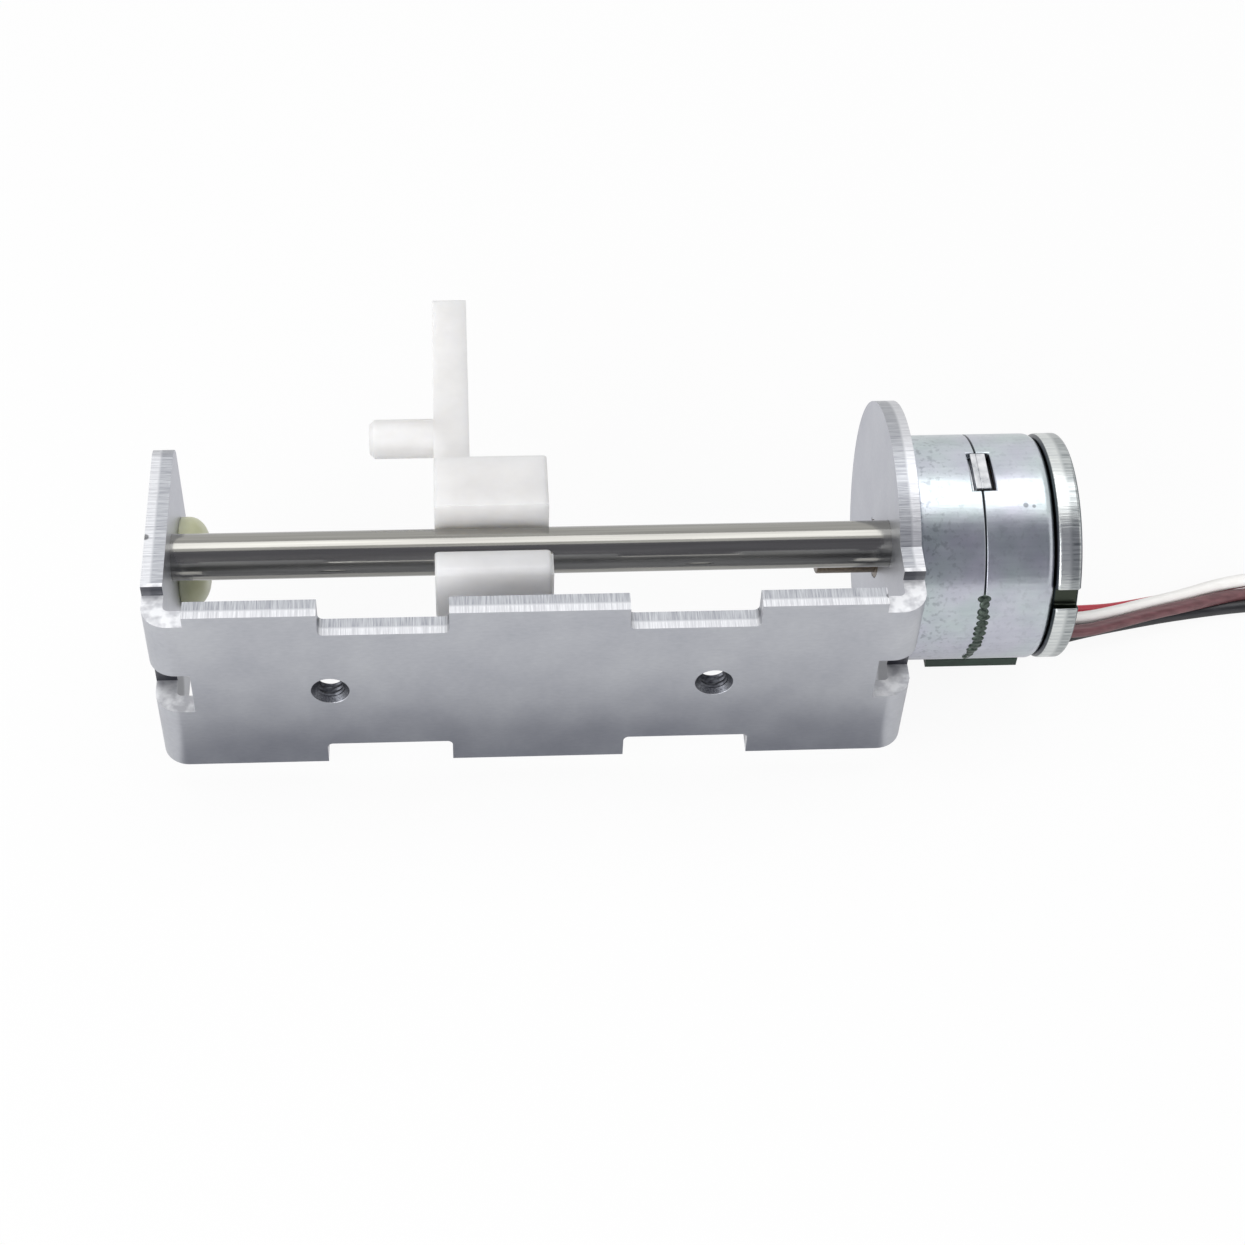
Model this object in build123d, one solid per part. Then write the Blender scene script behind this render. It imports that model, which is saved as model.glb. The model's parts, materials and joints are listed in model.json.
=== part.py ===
from build123d import *
from math import radians, tan
import os

# Stepper motor linear slide, in millimetres, as it lies on its side
# X runs along the lead screw towards the motor
# Y runs from the mounting face to the free ends of the ears
# Z runs up, across the width of the bracket
# The origin is on the mounting face, midway between the two tapped holes

# Bracket sheet
sheet = 1.8
bracket_width = 19.7
bend_inner_radius = 0.5
left_ear_height = 20.2
left_ear_corner_radius = 2.0
flange_radius = 13.1

# Tapped holes in the mounting face, M3
hole_spacing = 32.5
left_hole_to_end = 15.05
right_hole_to_end = 17.325
tap_radius = 1.25
tap_mouth_radius = 1.65

# Bend reliefs: a step on the upper long edge and a slot at mid-width, of one length
relief_length = 3.5
relief_depth = 1.1
relief_slot_width = 4.9

# Notches in both long edges
notch_length = 10.85
notch_depth = 2.5
notch_corner_radius = 0.5
left_notch_to_end = 14.4
right_notch_to_end = 13.9

# Guide rod
rod_radius = 2.0
rod_y = 10.4
rod_z = 5.65
rod_recess = 0.2
rod_chamfer = 0.3

# Lead screw and its shaft
screw_y = 14.83
screw_radius = 1.5
journal_radius = 1.0
rear_journal_length = 1.9
shaft_chamfer = 0.25

# End bush in the left ear
bush_seat_radius = 2.8
bush_dome_radius = 4.0
bush_dome_length = 2.4
bush_dome_straight = 0.7
bush_dome_bulge = 0.35
bush_nose_radius = 1.9
bush_bore_depth = 3.4

# Front bearing in the motor flange
bearing_nose_radius = 2.12
bearing_nose_length = 5.25
bearing_seat_radius = 2.6
bearing_inner_length = 0.9

# Motor casing
motor_radius = 10.0
can_length = 6.15
can_wall = 0.8
can_corner_radius = 0.95
window_width = 4.4
window_front = 0.8
window_rear = 1.2
window_depth = 1.5
terminal_gap_width = 5.6
terminal_gap_length = 1.9
terminal_gap_depth = 1.6

# Claw poles, seen along the shaft: each stack has two rings of claws that interleave
claw_count = 5
claw_inner_radius = 4.95
claw_thickness = 0.65
claw_root_width = 2.5
claw_tip_width = 1.2
claw_tip_gap = 0.35
yoke_thickness = 0.8
yoke_tab_width = 4.1
yoke_tab_recess = 0.15
front_tab_thickness = 0.5

# Bobbins and windings
bobbin_wall = 0.45
bobbin_clearance = 0.3
winding_inset = 0.5
terminal_block_width = 5.2
terminal_block_length = 1.85
terminal_block_root = 0.4

# Rotor
magnet_radius = 4.7
magnet_bore_radius = 2.6
magnet_length = 9.6
rotor_end_play = 0.15
washer_radius = 2.3
washer_thickness = 0.2

# End cap and rear bearing
cap_thickness = 2.2
cap_chamfer = 0.25
cap_skin = 0.5
cap_nick_width = 1.85
cap_nick_depth = 0.9
cap_nick_angle = 160
rear_bearing_radius = 2.4

# Weld beads on the seam
weld_width = 1.2
weld_height = 0.12
weld_arc = 52

# Terminal board under the motor, its pins and its solder
board_length = 8.4
board_width = 9.7
board_thickness = 1.0
board_to_cap = 0.3
pin_radius = 0.25
pin_pitch = 2.4
pin_inset = 0.85
pin_stickout = 0.5
pin_seat_depth = 0.9
solder_radius = 0.6
solder_tip_radius = 0.33
solder_height = 0.55
lead_joint_length = 1.1
lead_joint_width = 0.9
lead_joint_height = 1.0
lead_joint_slope = 0.6

# Leads
wire_radius = 0.6
wire_pitch = 1.27
wire_end_inset = 3.0

# Carriage moulding
carriage_left_x = -7.2
carriage_length = 9.8
lip_overhang = 0.2
lip_front_y = 6.0
lip_top_z = 8.05
block_top_z = 9.4
carriage_floor_z = 1.6
nut_wall = 1.6
slot_clearance = 0.1
snap_overhang = 0.2
nut_clearance = 0.1
arm_thickness = 3.15
arm_end_y = 40.0
arm_depth = 4.0
arm_waist_cut = 0.4
arm_waist_end_y = 29.5
arm_waist_ramp = 1.6
side_pin_radius = 1.75
side_pin_length = 5.7
side_pin_y = 23.95
side_pin_chamfer = 0.45
moulding_fillet = 0.35
lip_fillet = 0.6
lip_tongue_drop = 0.5

# Connector on the far end of the leads
contact_pitch = 2.0
housing_length = 7.6
housing_height = 4.6
housing_side_wall = 1.9
housing_fillet = 0.3
cavity_size = 1.4
latch_length = 4.2
latch_height = 0.5
latch_width = 4.9
contact_size = 1.15
contact_wall = 0.2
contact_box_depth = 2.2
contact_length = 4.4
contact_recess = 0.8
barrel_length = 1.6
barrel_radius = 0.5
wire_plug_depth = 0.6

# Running and press clearances
fit_gap = 0.02
running_gap = 0.05
winding_gap = 0.05

# How far a cut runs past the face it opens, and how near two places count as one
cut_past = 1.0
same_place = 0.01

# Stations along X, worked out from the sizes above
left_end_x = -hole_spacing / 2 - left_hole_to_end
motor_face_x = hole_spacing / 2 + right_hole_to_end
left_inner_x = left_end_x + sheet
flange_inner_x = motor_face_x - sheet
seam_x = motor_face_x + can_length
can_end_x = seam_x + can_length
cap_end_x = can_end_x + cap_thickness
half_width = bracket_width / 2
claw_outer_radius = claw_inner_radius + claw_thickness
bobbin_flange_radius = motor_radius - can_wall - bobbin_clearance
winding_radius = bobbin_flange_radius - winding_inset


def span_box(x0, x1, y0, y1, z0, z1):
    """A box between two corners."""
    return Pos((x0 + x1) / 2, (y0 + y1) / 2, (z0 + z1) / 2) * Box(x1 - x0, y1 - y0, z1 - z0)


def tube_x(x0, x1, radius, bore=0.0, y=screw_y, z=0.0):
    """A round bar or ring along X."""
    spot = Pos((x0 + x1) / 2, y, z) * Rot(0, 90, 0)
    bar = spot * Cylinder(radius, x1 - x0)
    return bar - spot * Cylinder(bore, 2 * (x1 - x0)) if bore else bar


def turned(points, y=screw_y, z=0.0):
    """A body of revolution along X, from its half section as (x, radius) points."""
    section = make_face(Polyline(*[(x, r) for x, r in points], close=True))
    return Pos(0, y, z) * revolve(section, Axis.X)


def around_screw(angle, body):
    """Turn a body about the screw, with 0 along +Y and 90 along +Z."""
    return Pos(0, screw_y, 0) * Rot(angle, 0, 0) * Pos(0, -screw_y, 0) * body


def rim_at(body, x):
    """The round edges of a body that lie at one place along X."""
    rims = body.edges().filter_by(GeomType.CIRCLE)
    return rims.filter_by(lambda e: abs(e.center().X - x) < same_place)


def save(name, *solids):
    """Write one piece, or a group of like pieces, as parts/NAME.step."""
    shape = solids[0] if len(solids) == 1 else Compound(children=list(solids))
    shape.label = name
    export_step(shape, os.path.join("parts", name + ".step"))


def bent_strip():
    """The bracket's sheet, bent into a U, with a straight-sided right ear."""
    width = motor_face_x - left_end_x
    outer = Pos((left_end_x + motor_face_x) / 2, left_ear_height / 2) * Rectangle(
        width, left_ear_height
    )
    outer = fillet(outer.vertices().group_by(Axis.Y)[0], bend_inner_radius + sheet)
    inner = Pos((left_end_x + motor_face_x) / 2, sheet + left_ear_height / 2) * Rectangle(
        width - 2 * sheet, left_ear_height
    )
    inner = fillet(inner.vertices().group_by(Axis.Y)[0], bend_inner_radius)
    strip = extrude(outer - inner, half_width, both=True)
    above_disc = span_box(
        flange_inner_x, motor_face_x, screw_y, left_ear_height, -half_width, half_width
    )
    return strip - above_disc


def relief_cuts():
    """The steps and the slot that free each bend."""
    cuts = []
    for x0 in (left_end_x, motor_face_x - relief_length):
        x1 = x0 + relief_length
        cuts.append(
            span_box(x0, x1, 0, relief_length, -relief_slot_width / 2, relief_slot_width / 2)
        )
        cuts.append(
            span_box(x0, x1, 0, relief_length, half_width - relief_depth, half_width + cut_past)
        )
    return cuts


def edge_notch(x0, side):
    """A notch with rounded inner corners in one long edge of the base."""
    plan = Pos(x0 + notch_length / 2, side * half_width) * Rectangle(
        notch_length, 2 * notch_depth
    )
    plan = fillet(plan.vertices(), notch_corner_radius)
    return Pos(0, sheet / 2, 0) * extrude(Plane.XZ * plan, sheet, both=True)


def tapped_hole(x):
    """The bore of an M3 thread with its countersunk mouth."""
    depth = tap_mouth_radius - tap_radius
    bore = Pos(x, sheet / 2, 0) * Rot(90, 0, 0) * Cylinder(tap_radius, 2 * sheet)
    mouth = Pos(x, depth / 2, 0) * Rot(90, 0, 0) * Cone(tap_radius, tap_mouth_radius, depth)
    return bore + mouth


def make_bracket():
    body = bent_strip() + tube_x(flange_inner_x, motor_face_x, flange_radius)
    for cut in relief_cuts():
        body -= cut
    for x0 in (left_end_x + left_notch_to_end, motor_face_x - right_notch_to_end - notch_length):
        for side in (-1, 1):
            body -= edge_notch(x0, side)
    for x in (-hole_spacing / 2, hole_spacing / 2):
        body -= tapped_hole(x)
    top_edges = [
        e
        for e in body.edges().filter_by(Axis.X)
        if e.center().X < left_inner_x and abs(e.center().Y - left_ear_height) < same_place
    ]
    body = fillet(top_edges, left_ear_corner_radius)
    body -= tube_x(left_end_x - cut_past, left_inner_x + cut_past, bush_seat_radius + fit_gap)
    body -= tube_x(
        flange_inner_x - cut_past, motor_face_x + cut_past, bearing_seat_radius + fit_gap
    )
    for x in (left_end_x, flange_inner_x):
        body -= tube_x(
            x - cut_past, x + sheet + cut_past, rod_radius + fit_gap, y=rod_y, z=rod_z
        )
    return body


def make_guide_rod():
    rod = tube_x(
        left_end_x + rod_recess, motor_face_x - rod_recess, rod_radius, y=rod_y, z=rod_z
    )
    return chamfer(rod.edges().filter_by(GeomType.CIRCLE), rod_chamfer)


def make_end_bush():
    """A domed nylon bush, pressed into the ear, with a blind bore for the journal."""
    x0, x1 = left_end_x, left_inner_x + bush_dome_length
    shoulder = left_inner_x + bush_dome_straight
    with BuildSketch() as section:
        with BuildLine():
            Polyline(
                (x0, 0),
                (x0, bush_seat_radius),
                (left_inner_x, bush_seat_radius),
                (left_inner_x, bush_dome_radius),
                (shoulder, bush_dome_radius),
            )
            SagittaArc((shoulder, bush_dome_radius), (x1, bush_nose_radius), bush_dome_bulge)
            Polyline((x1, bush_nose_radius), (x1, 0), (x0, 0))
        make_face()
    bush = Pos(0, screw_y, 0) * revolve(section.sketch, Axis.X)
    return bush - tube_x(x1 - bush_bore_depth, x1 + cut_past, journal_radius + running_gap)


def make_front_bearing():
    nose_x = flange_inner_x - bearing_nose_length
    inner_x = motor_face_x + bearing_inner_length
    bore = screw_radius + running_gap
    return turned(
        [
            (nose_x, bore),
            (nose_x, bearing_nose_radius),
            (flange_inner_x, bearing_nose_radius),
            (flange_inner_x, bearing_seat_radius),
            (inner_x, bearing_seat_radius),
            (inner_x, bore),
        ]
    )


def claw(x_root, x_tip, angle):
    """One tapered pole: a flat trapezoid cut out of a thin ring."""
    length = abs(x_tip - x_root)
    outline = make_face(
        Polyline(
            (x_root, -claw_root_width / 2),
            (x_root, claw_root_width / 2),
            (x_tip, claw_tip_width / 2),
            (x_tip, -claw_tip_width / 2),
            close=True,
        )
    )
    wedge = Pos(0, screw_y, 0) * extrude(outline, 2 * claw_outer_radius)
    ring = tube_x(
        min(x_root, x_tip), min(x_root, x_tip) + length, claw_outer_radius, claw_inner_radius
    )
    return around_screw(angle - 90, wedge & ring)


def claw_ring(x_root, x_tip, first_angle):
    step = 360 / claw_count
    return [claw(x_root, x_tip, first_angle + i * step) for i in range(claw_count)]


def make_can(direction, first_angle):
    """One half of the casing: a drawn cup whose end wall is bent into claws.

    direction is -1 for the front can, which opens towards +X, and 1 for the rear one.
    """
    end_x = seam_x + direction * can_length
    wall_x = end_x - direction * can_wall
    x0, x1 = sorted((seam_x, end_x))
    cup = tube_x(x0, x1, motor_radius)
    cup = fillet(rim_at(cup, end_x), can_corner_radius)
    x0, x1 = sorted((seam_x - direction * cut_past, wall_x))
    cup -= tube_x(x0, x1, motor_radius - can_wall)
    cup -= tube_x(end_x - 2 * can_wall, end_x + 2 * can_wall, claw_outer_radius)
    tip_x = seam_x + direction * (yoke_thickness + claw_tip_gap)
    for pole in claw_ring(end_x, tip_x, first_angle):
        cup += pole
    window = window_front if direction < 0 else window_rear
    for angle, width, length in (
        (90, window_width, window),
        (-90, terminal_gap_width, terminal_gap_length),
    ):
        x0, x1 = sorted((seam_x, seam_x + direction * length))
        top = screw_y + motor_radius
        slot = span_box(x0, x1, top - window_depth, top + cut_past, -width / 2, width / 2)
        cup -= around_screw(angle, slot)
    return cup


def make_yoke(direction, first_angle):
    """The inner plate of one stack, with its claws and its locating tab."""
    plate_x = seam_x + direction * yoke_thickness
    x0, x1 = sorted((seam_x, plate_x))
    plate = tube_x(x0, x1, motor_radius - can_wall - fit_gap, claw_outer_radius)
    reach = motor_radius - yoke_tab_recess
    tab_x = seam_x - front_tab_thickness if direction < 0 else plate_x
    tab_x0, tab_x1 = sorted((seam_x, tab_x))
    tab = span_box(
        tab_x0, tab_x1, screw_y + claw_outer_radius + cut_past, screw_y + reach,
        -yoke_tab_width / 2, yoke_tab_width / 2,
    )
    plate += around_screw(90, tab)
    foot = motor_radius - can_wall - terminal_gap_depth
    gap = span_box(
        x0 - cut_past, x1 + cut_past, screw_y + foot, screw_y + motor_radius,
        -terminal_gap_width / 2, terminal_gap_width / 2,
    )
    plate -= around_screw(-90, gap)
    tip_x = seam_x + direction * (can_length - can_wall - claw_tip_gap)
    for pole in claw_ring(seam_x, tip_x, first_angle):
        plate += pole
    return plate


def bobbin_span(direction):
    """The two ends of a bobbin along X, the end nearer the seam first."""
    near = seam_x + direction * (yoke_thickness + fit_gap)
    far = seam_x + direction * (can_length - can_wall - fit_gap)
    return near, far


def make_bobbin(direction):
    """A spool with the block that holds its two terminal pins."""
    near, far = bobbin_span(direction)
    core = claw_outer_radius + winding_gap
    x0, x1 = sorted((near, far))
    spool = tube_x(x0, x1, bobbin_flange_radius, core)
    spool -= tube_x(
        x0 + bobbin_wall, x1 - bobbin_wall, motor_radius, core + bobbin_wall
    )
    b0, b1 = sorted((seam_x + direction * fit_gap, seam_x + direction * terminal_block_length))
    top = screw_y + motor_radius
    half = terminal_block_width / 2
    foot = screw_y + bobbin_flange_radius - terminal_block_root
    block = span_box(b0, b1, foot, top, -half, half)
    spool += around_screw(-90, block)
    for y in pin_rows():
        hole = Pos(pin_x(direction), y, -motor_radius)
        spool -= hole * Cylinder(pin_radius + fit_gap, 2 * pin_seat_depth)
    return spool


def make_coil(direction):
    near, far = bobbin_span(direction)
    x0, x1 = sorted((near, far))
    inset = bobbin_wall + winding_gap
    bore = claw_outer_radius + 2 * winding_gap + bobbin_wall
    return tube_x(x0 + inset, x1 - inset, winding_radius, bore)


def pin_rows():
    return (screw_y - pin_pitch / 2, screw_y + pin_pitch / 2)


def pin_x(direction):
    """The pins of a bobbin stand in its terminal block, clear of the other bobbin's."""
    return seam_x + direction * (terminal_block_length - pin_inset)


def board_top_z():
    return -motor_radius - fit_gap


def board_bottom_z():
    return board_top_z() - board_thickness


def make_terminal_board():
    """A plain circuit board with a hole for each pin."""
    x1 = can_end_x - board_to_cap
    board = span_box(
        x1 - board_length, x1, screw_y - board_width / 2, screw_y + board_width / 2,
        board_bottom_z(), board_top_z(),
    )
    for direction in (-1, 1):
        for y in pin_rows():
            hole = Pos(pin_x(direction), y, board_top_z())
            board -= hole * Cylinder(pin_radius + fit_gap, 4 * board_thickness)
    return board


def make_pins():
    """Four straight pins, from the bobbins' blocks through the board."""
    z0 = board_bottom_z() - pin_stickout
    z1 = -motor_radius + pin_seat_depth - fit_gap
    return [
        Pos(pin_x(direction), y, (z0 + z1) / 2) * Cylinder(pin_radius, z1 - z0)
        for direction in (-1, 1)
        for y in pin_rows()
    ]


def solder_cone(x, y):
    """A cone of solder around a pin, on the underside of the board."""
    cone = Cone(solder_tip_radius, solder_radius, solder_height)
    cone = Pos(x, y, board_bottom_z() - solder_height / 2) * cone
    return cone - Pos(x, y, board_bottom_z()) * Cylinder(pin_radius + fit_gap, 4 * solder_height)


def wire_start_x():
    return can_end_x - board_to_cap - wire_end_inset


def wire_lanes():
    """Where the four leads leave the board, from the mounting side: black to red."""
    return [screw_y + (i - 1.5) * wire_pitch for i in range(4)]


def make_solder():
    """Joints on the four pins, and one ahead of the end of each lead."""
    joints = [solder_cone(pin_x(direction), y) for direction in (-1, 1) for y in pin_rows()]
    x1 = wire_start_x()
    z1 = board_bottom_z()
    half = lead_joint_width / 2
    for y in wire_lanes():
        pad = span_box(x1 - lead_joint_length, x1, y - half, y + half, z1 - lead_joint_height, z1)
        low_front = pad.edges().filter_by(Axis.Y).group_by(Axis.Z)[0].sort_by(Axis.X)[0]
        joints.append(chamfer(low_front, lead_joint_slope))
    return joints


def make_end_cap():
    """A thick plate with a nick in its rim and a blind seat for the rear bearing."""
    cap = tube_x(can_end_x, cap_end_x, motor_radius)
    cap = chamfer(rim_at(cap, cap_end_x) + rim_at(cap, can_end_x), cap_chamfer)
    top = screw_y + motor_radius
    nick = span_box(
        can_end_x - cut_past, cap_end_x + cut_past, top - cap_nick_depth, top + cut_past,
        -cap_nick_width / 2, cap_nick_width / 2,
    )
    cap -= around_screw(cap_nick_angle, nick)
    seat_x = cap_end_x - cap_skin
    return cap - tube_x(can_end_x - cut_past, seat_x, rear_bearing_radius + fit_gap)


def make_rear_bearing():
    return tube_x(
        can_end_x, cap_end_x - cap_skin, rear_bearing_radius, journal_radius + running_gap
    )


def make_welds():
    """Two strips of weld bead over the seam, towards the mounting face and opposite."""
    strips = []
    for middle in (180, 0):
        section = make_face(
            Polyline(
                (seam_x - weld_width / 2, motor_radius),
                (seam_x - weld_width / 4, motor_radius + weld_height),
                (seam_x + weld_width / 4, motor_radius + weld_height),
                (seam_x + weld_width / 2, motor_radius),
                close=True,
            )
        )
        strip = Pos(0, screw_y, 0) * revolve(section, Axis.X, weld_arc)
        strips.append(around_screw(middle - weld_arc / 2, strip))
    return strips


def rotor_span():
    """The two ends of the rotor's hub along X, with room for a washer at each bearing."""
    room = washer_thickness + 2 * fit_gap
    return motor_face_x + bearing_inner_length + room, can_end_x - room - rotor_end_play


def make_lead_screw():
    """Screw and motor shaft in one, with a thin journal at each end."""
    left_x = left_inner_x + bush_dome_length - bush_bore_depth + 2 * running_gap
    step_x = left_x + bush_bore_depth
    rear_x = can_end_x - running_gap
    end_x = rear_x + min(rear_journal_length, cap_thickness - cap_skin) - running_gap
    screw = tube_x(step_x, rear_x, screw_radius)
    screw += tube_x(left_x, step_x, journal_radius)
    screw += tube_x(rear_x, end_x, journal_radius)
    return chamfer(rim_at(screw, left_x) + rim_at(screw, end_x), shaft_chamfer)


def make_hub():
    x0, x1 = rotor_span()
    return tube_x(x0, x1, magnet_bore_radius, screw_radius + fit_gap)


def make_magnet():
    half = magnet_length / 2
    return tube_x(seam_x - half, seam_x + half, magnet_radius, magnet_bore_radius + fit_gap)


def make_washers():
    """One thin washer against each end of the hub."""
    x0, x1 = rotor_span()
    bore = screw_radius + fit_gap
    return [
        tube_x(x0 - fit_gap - washer_thickness, x0 - fit_gap, washer_radius, bore),
        tube_x(x1 + fit_gap, x1 + fit_gap + washer_thickness, washer_radius, bore),
    ]


def carriage_section():
    """The moulding seen along the rod: lip, rod slot, block and nut barrel."""
    slot = rod_radius + slot_clearance
    barrel = screw_radius + nut_clearance + nut_wall
    back_y = screw_y + barrel
    block = Pos((rod_y + back_y) / 2, (carriage_floor_z + block_top_z) / 2) * Rectangle(
        back_y - rod_y, block_top_z - carriage_floor_z
    )
    lip = Pos((lip_front_y + rod_y) / 2, (carriage_floor_z + lip_top_z) / 2) * Rectangle(
        rod_y - lip_front_y, lip_top_z - carriage_floor_z
    )
    lip = fillet(lip.vertices().group_by(Axis.X)[0], lip_fillet)
    stem = Pos(screw_y, carriage_floor_z / 2) * Rectangle(2 * barrel, carriage_floor_z)
    nut = Pos(screw_y, 0) * Circle(barrel)
    mouth_y0, mouth_y1 = rod_y - slot, rod_y + slot - snap_overhang
    mouth = Pos((mouth_y0 + mouth_y1) / 2, rod_z + block_top_z / 2) * Rectangle(
        mouth_y1 - mouth_y0, block_top_z
    )
    bore = Pos(screw_y, 0) * Circle(screw_radius + nut_clearance)
    return block + lip + stem + nut - mouth - Pos(rod_y, rod_z) * Circle(slot) - bore


def make_carriage():
    """One moulding: the body on the rod and screw, the arm and the side pin."""
    x0, x1 = carriage_left_x, carriage_left_x + carriage_length
    body = Pos(x0, 0, 0) * extrude(Plane.YZ * carriage_section(), carriage_length)
    back_y = screw_y + screw_radius + nut_clearance + nut_wall
    lip = span_box(
        x1, x1 + lip_overhang, lip_front_y, rod_y - rod_radius - slot_clearance,
        carriage_floor_z + lip_fillet, lip_top_z - lip_tongue_drop,
    )
    arm_z0, arm_z1 = rod_z - arm_depth / 2, rod_z + arm_depth / 2
    arm = span_box(x0, x0 + arm_thickness, back_y - cut_past, arm_end_y, arm_z0, arm_z1)
    arm = fillet(arm.edges().group_by(Axis.Y)[-1], moulding_fillet)
    ramp_y = arm_waist_end_y + arm_waist_ramp
    waist = make_face(
        Polyline(
            (back_y, arm_z1 + cut_past),
            (back_y, arm_z1 - arm_waist_cut),
            (arm_waist_end_y, arm_z1 - arm_waist_cut),
            (ramp_y, arm_z1),
            (ramp_y, arm_z1 + cut_past),
            close=True,
        )
    )
    waist = Pos(x0, 0, 0) * extrude(Plane.YZ * waist, carriage_length)
    pin_end_x = x0 - side_pin_length
    pin = tube_x(pin_end_x, x0, side_pin_radius, y=side_pin_y, z=rod_z)
    pin = chamfer(rim_at(pin, pin_end_x), side_pin_chamfer)
    body = chamfer_block_ends(body, x0, x1)
    return body + lip + (arm - waist) + pin


def chamfer_block_ends(body, x0, x1):
    """Round the top edges of the block and the lip at both ends."""
    edges = [
        e
        for e in body.edges().filter_by(Axis.Y)
        if min(abs(e.center().X - x0), abs(e.center().X - x1)) < same_place
        if e.center().Z > lip_top_z - same_place
    ]
    return fillet(edges, moulding_fillet)


def wire_routes():
    """The leads' routes, by colour: under the board, down to the ground and to the plug.

    White rides on top of brown and red where the bundle is tight. The places are
    measured from the start of the leads, the screw's axis and the ground.
    """
    under = board_bottom_z() - wire_radius - 2 * fit_gap + flange_radius
    plug = housing_height / 2
    flat = wire_radius
    offsets = {
        "black": [
            (0, -1.91, under),
            (3.6, -1.85, under - 0.05),
            (8.2, -1.05, 0.72),
            (15, 0.78, flat),
            (25.5, 2.75, flat),
            (38, 3.2, flat),
            (48.5, 1.0, 0.7),
            (56.5, -2.1, plug - 0.15),
            (61.6, -2.33, plug),
        ],
        "brown": [
            (0, -0.64, under),
            (3.6, -0.6, under + 0.05),
            (8.2, -0.2, 1.87),
            (12.5, 0.62, 1.87),
            (16.5, 2.12, 1.5),
            (20.5, 3.2, 0.68),
            (27, 4.3, flat),
            (38, 4.55, flat),
            (48.5, 2.55, 0.7),
            (56.5, -0.12, plug - 0.15),
            (61.6, -0.33, plug),
        ],
        "white": [
            (0, 0.64, under),
            (3.6, 0.7, under + 0.05),
            (8.2, 1.05, 1.8),
            (12.5, 1.88, 1.85),
            (16.5, 3.36, 1.78),
            (20.5, 3.88, 1.8),
            (27, 5.05, 1.72),
            (38, 5.35, 1.55),
            (48.5, 4.15, 0.8),
            (56.5, 1.86, plug - 0.15),
            (61.6, 1.67, plug),
        ],
        "red": [
            (0, 1.91, under),
            (3.6, 1.97, under - 0.05),
            (8.2, 2.3, 0.85),
            (15, 3.45, flat),
            (25.5, 5.6, flat),
            (38, 6.3, flat),
            (48.5, 5.75, 0.7),
            (56.5, 3.84, plug - 0.15),
            (61.6, 3.67, plug),
        ],
    }
    return {
        colour: [(wire_start_x() + x, screw_y + y, z - flange_radius) for x, y, z in points]
        for colour, points in offsets.items()
    }


def wire_tube(route):
    """A tube along straight runs joined by the largest arcs that they allow."""
    points = [Vector(*p) for p in route]
    radii = []
    for a, b, c in zip(points, points[1:], points[2:]):
        turn = radians((b - a).get_angle(c - b))
        radii.append(0.45 * min((b - a).length, (c - b).length) / tan(turn / 2))
    path = FilletPolyline(*points, radius=radii)
    tube = sweep(Plane(path @ 0, z_dir=path % 0) * Circle(wire_radius), path)
    return tube, path.length, min(radii)


def plug_location(routes):
    """The plug's own frame: its mouth for the leads, with the leads' ends just inside."""
    x = routes["black"][-1][0] - wire_plug_depth
    y = (routes["black"][-1][1] + routes["red"][-1][1]) / 2
    return Pos(x, y, housing_height / 2 - flange_radius)


def make_housing(location):
    """A plain four-way housing with a straight cavity for each contact."""
    half_height = housing_height / 2
    width = 3 * contact_pitch + 2 * housing_side_wall
    body = span_box(0, housing_length, -width / 2, width / 2, -half_height, half_height)
    body = fillet(body.edges().filter_by(Axis.X), housing_fillet)
    mouth_x = housing_length + cut_past
    body -= span_box(
        housing_length - latch_length, mouth_x, -latch_width / 2, latch_width / 2,
        half_height - latch_height, half_height + cut_past,
    )
    half = cavity_size / 2
    for y in contact_rows():
        body -= span_box(-cut_past, mouth_x, y - half, y + half, -half, half)
    return location * body


def contact_rows():
    return [(i - 1.5) * contact_pitch for i in range(4)]


def make_contacts(location):
    """Four box contacts, each with a round barrel that meets its lead."""
    contacts = []
    tip = housing_length - contact_recess
    back = tip - contact_length
    half = contact_size / 2
    inside = half - contact_wall
    for y in contact_rows():
        contact = span_box(back, tip, y - half, y + half, -half, half)
        contact -= span_box(
            tip - contact_box_depth, tip + cut_past, y - inside, y + inside, -inside, inside
        )
        contact += tube_x(back - barrel_length, back, barrel_radius, y=y)
        contacts.append(location * contact)
    return contacts


os.makedirs("parts", exist_ok=True)

save("bracket", make_bracket())
save("guide_rod", make_guide_rod())
save("end_bush", make_end_bush())
save("front_bearing", make_front_bearing())
save("front_can", make_can(-1, 0))
save("rear_can", make_can(1, 180 / claw_count / 2))
save("front_yoke", make_yoke(-1, 180 / claw_count))
save("rear_yoke", make_yoke(1, 180 / claw_count * 1.5))
for side_name, side in (("front", -1), ("rear", 1)):
    save(side_name + "_bobbin", make_bobbin(side))
    save(side_name + "_coil", make_coil(side))
save("end_cap", make_end_cap())
save("rear_bearing", make_rear_bearing())
save("seam_welds", *make_welds())
save("terminal_board", make_terminal_board())
save("terminal_pins", *make_pins())
save("solder_joints", *make_solder())
save("lead_screw", make_lead_screw())
save("rotor_hub", make_hub())
save("rotor_magnet", make_magnet())
save("thrust_washers", *make_washers())
save("carriage", make_carriage())

routes = wire_routes()
for colour, route in routes.items():
    tube, length, tightest = wire_tube(route)
    print(f"wire_{colour}: length {length:.1f}, tightest radius {tightest:.1f}")
    save("wire_" + colour, tube)
plug = plug_location(routes)
save("connector_housing", make_housing(plug))
save("connector_contacts", *make_contacts(plug))
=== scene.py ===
import functools
import json

import bmesh
import bpy
import numpy as np
from mathutils import Matrix, Vector

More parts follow.
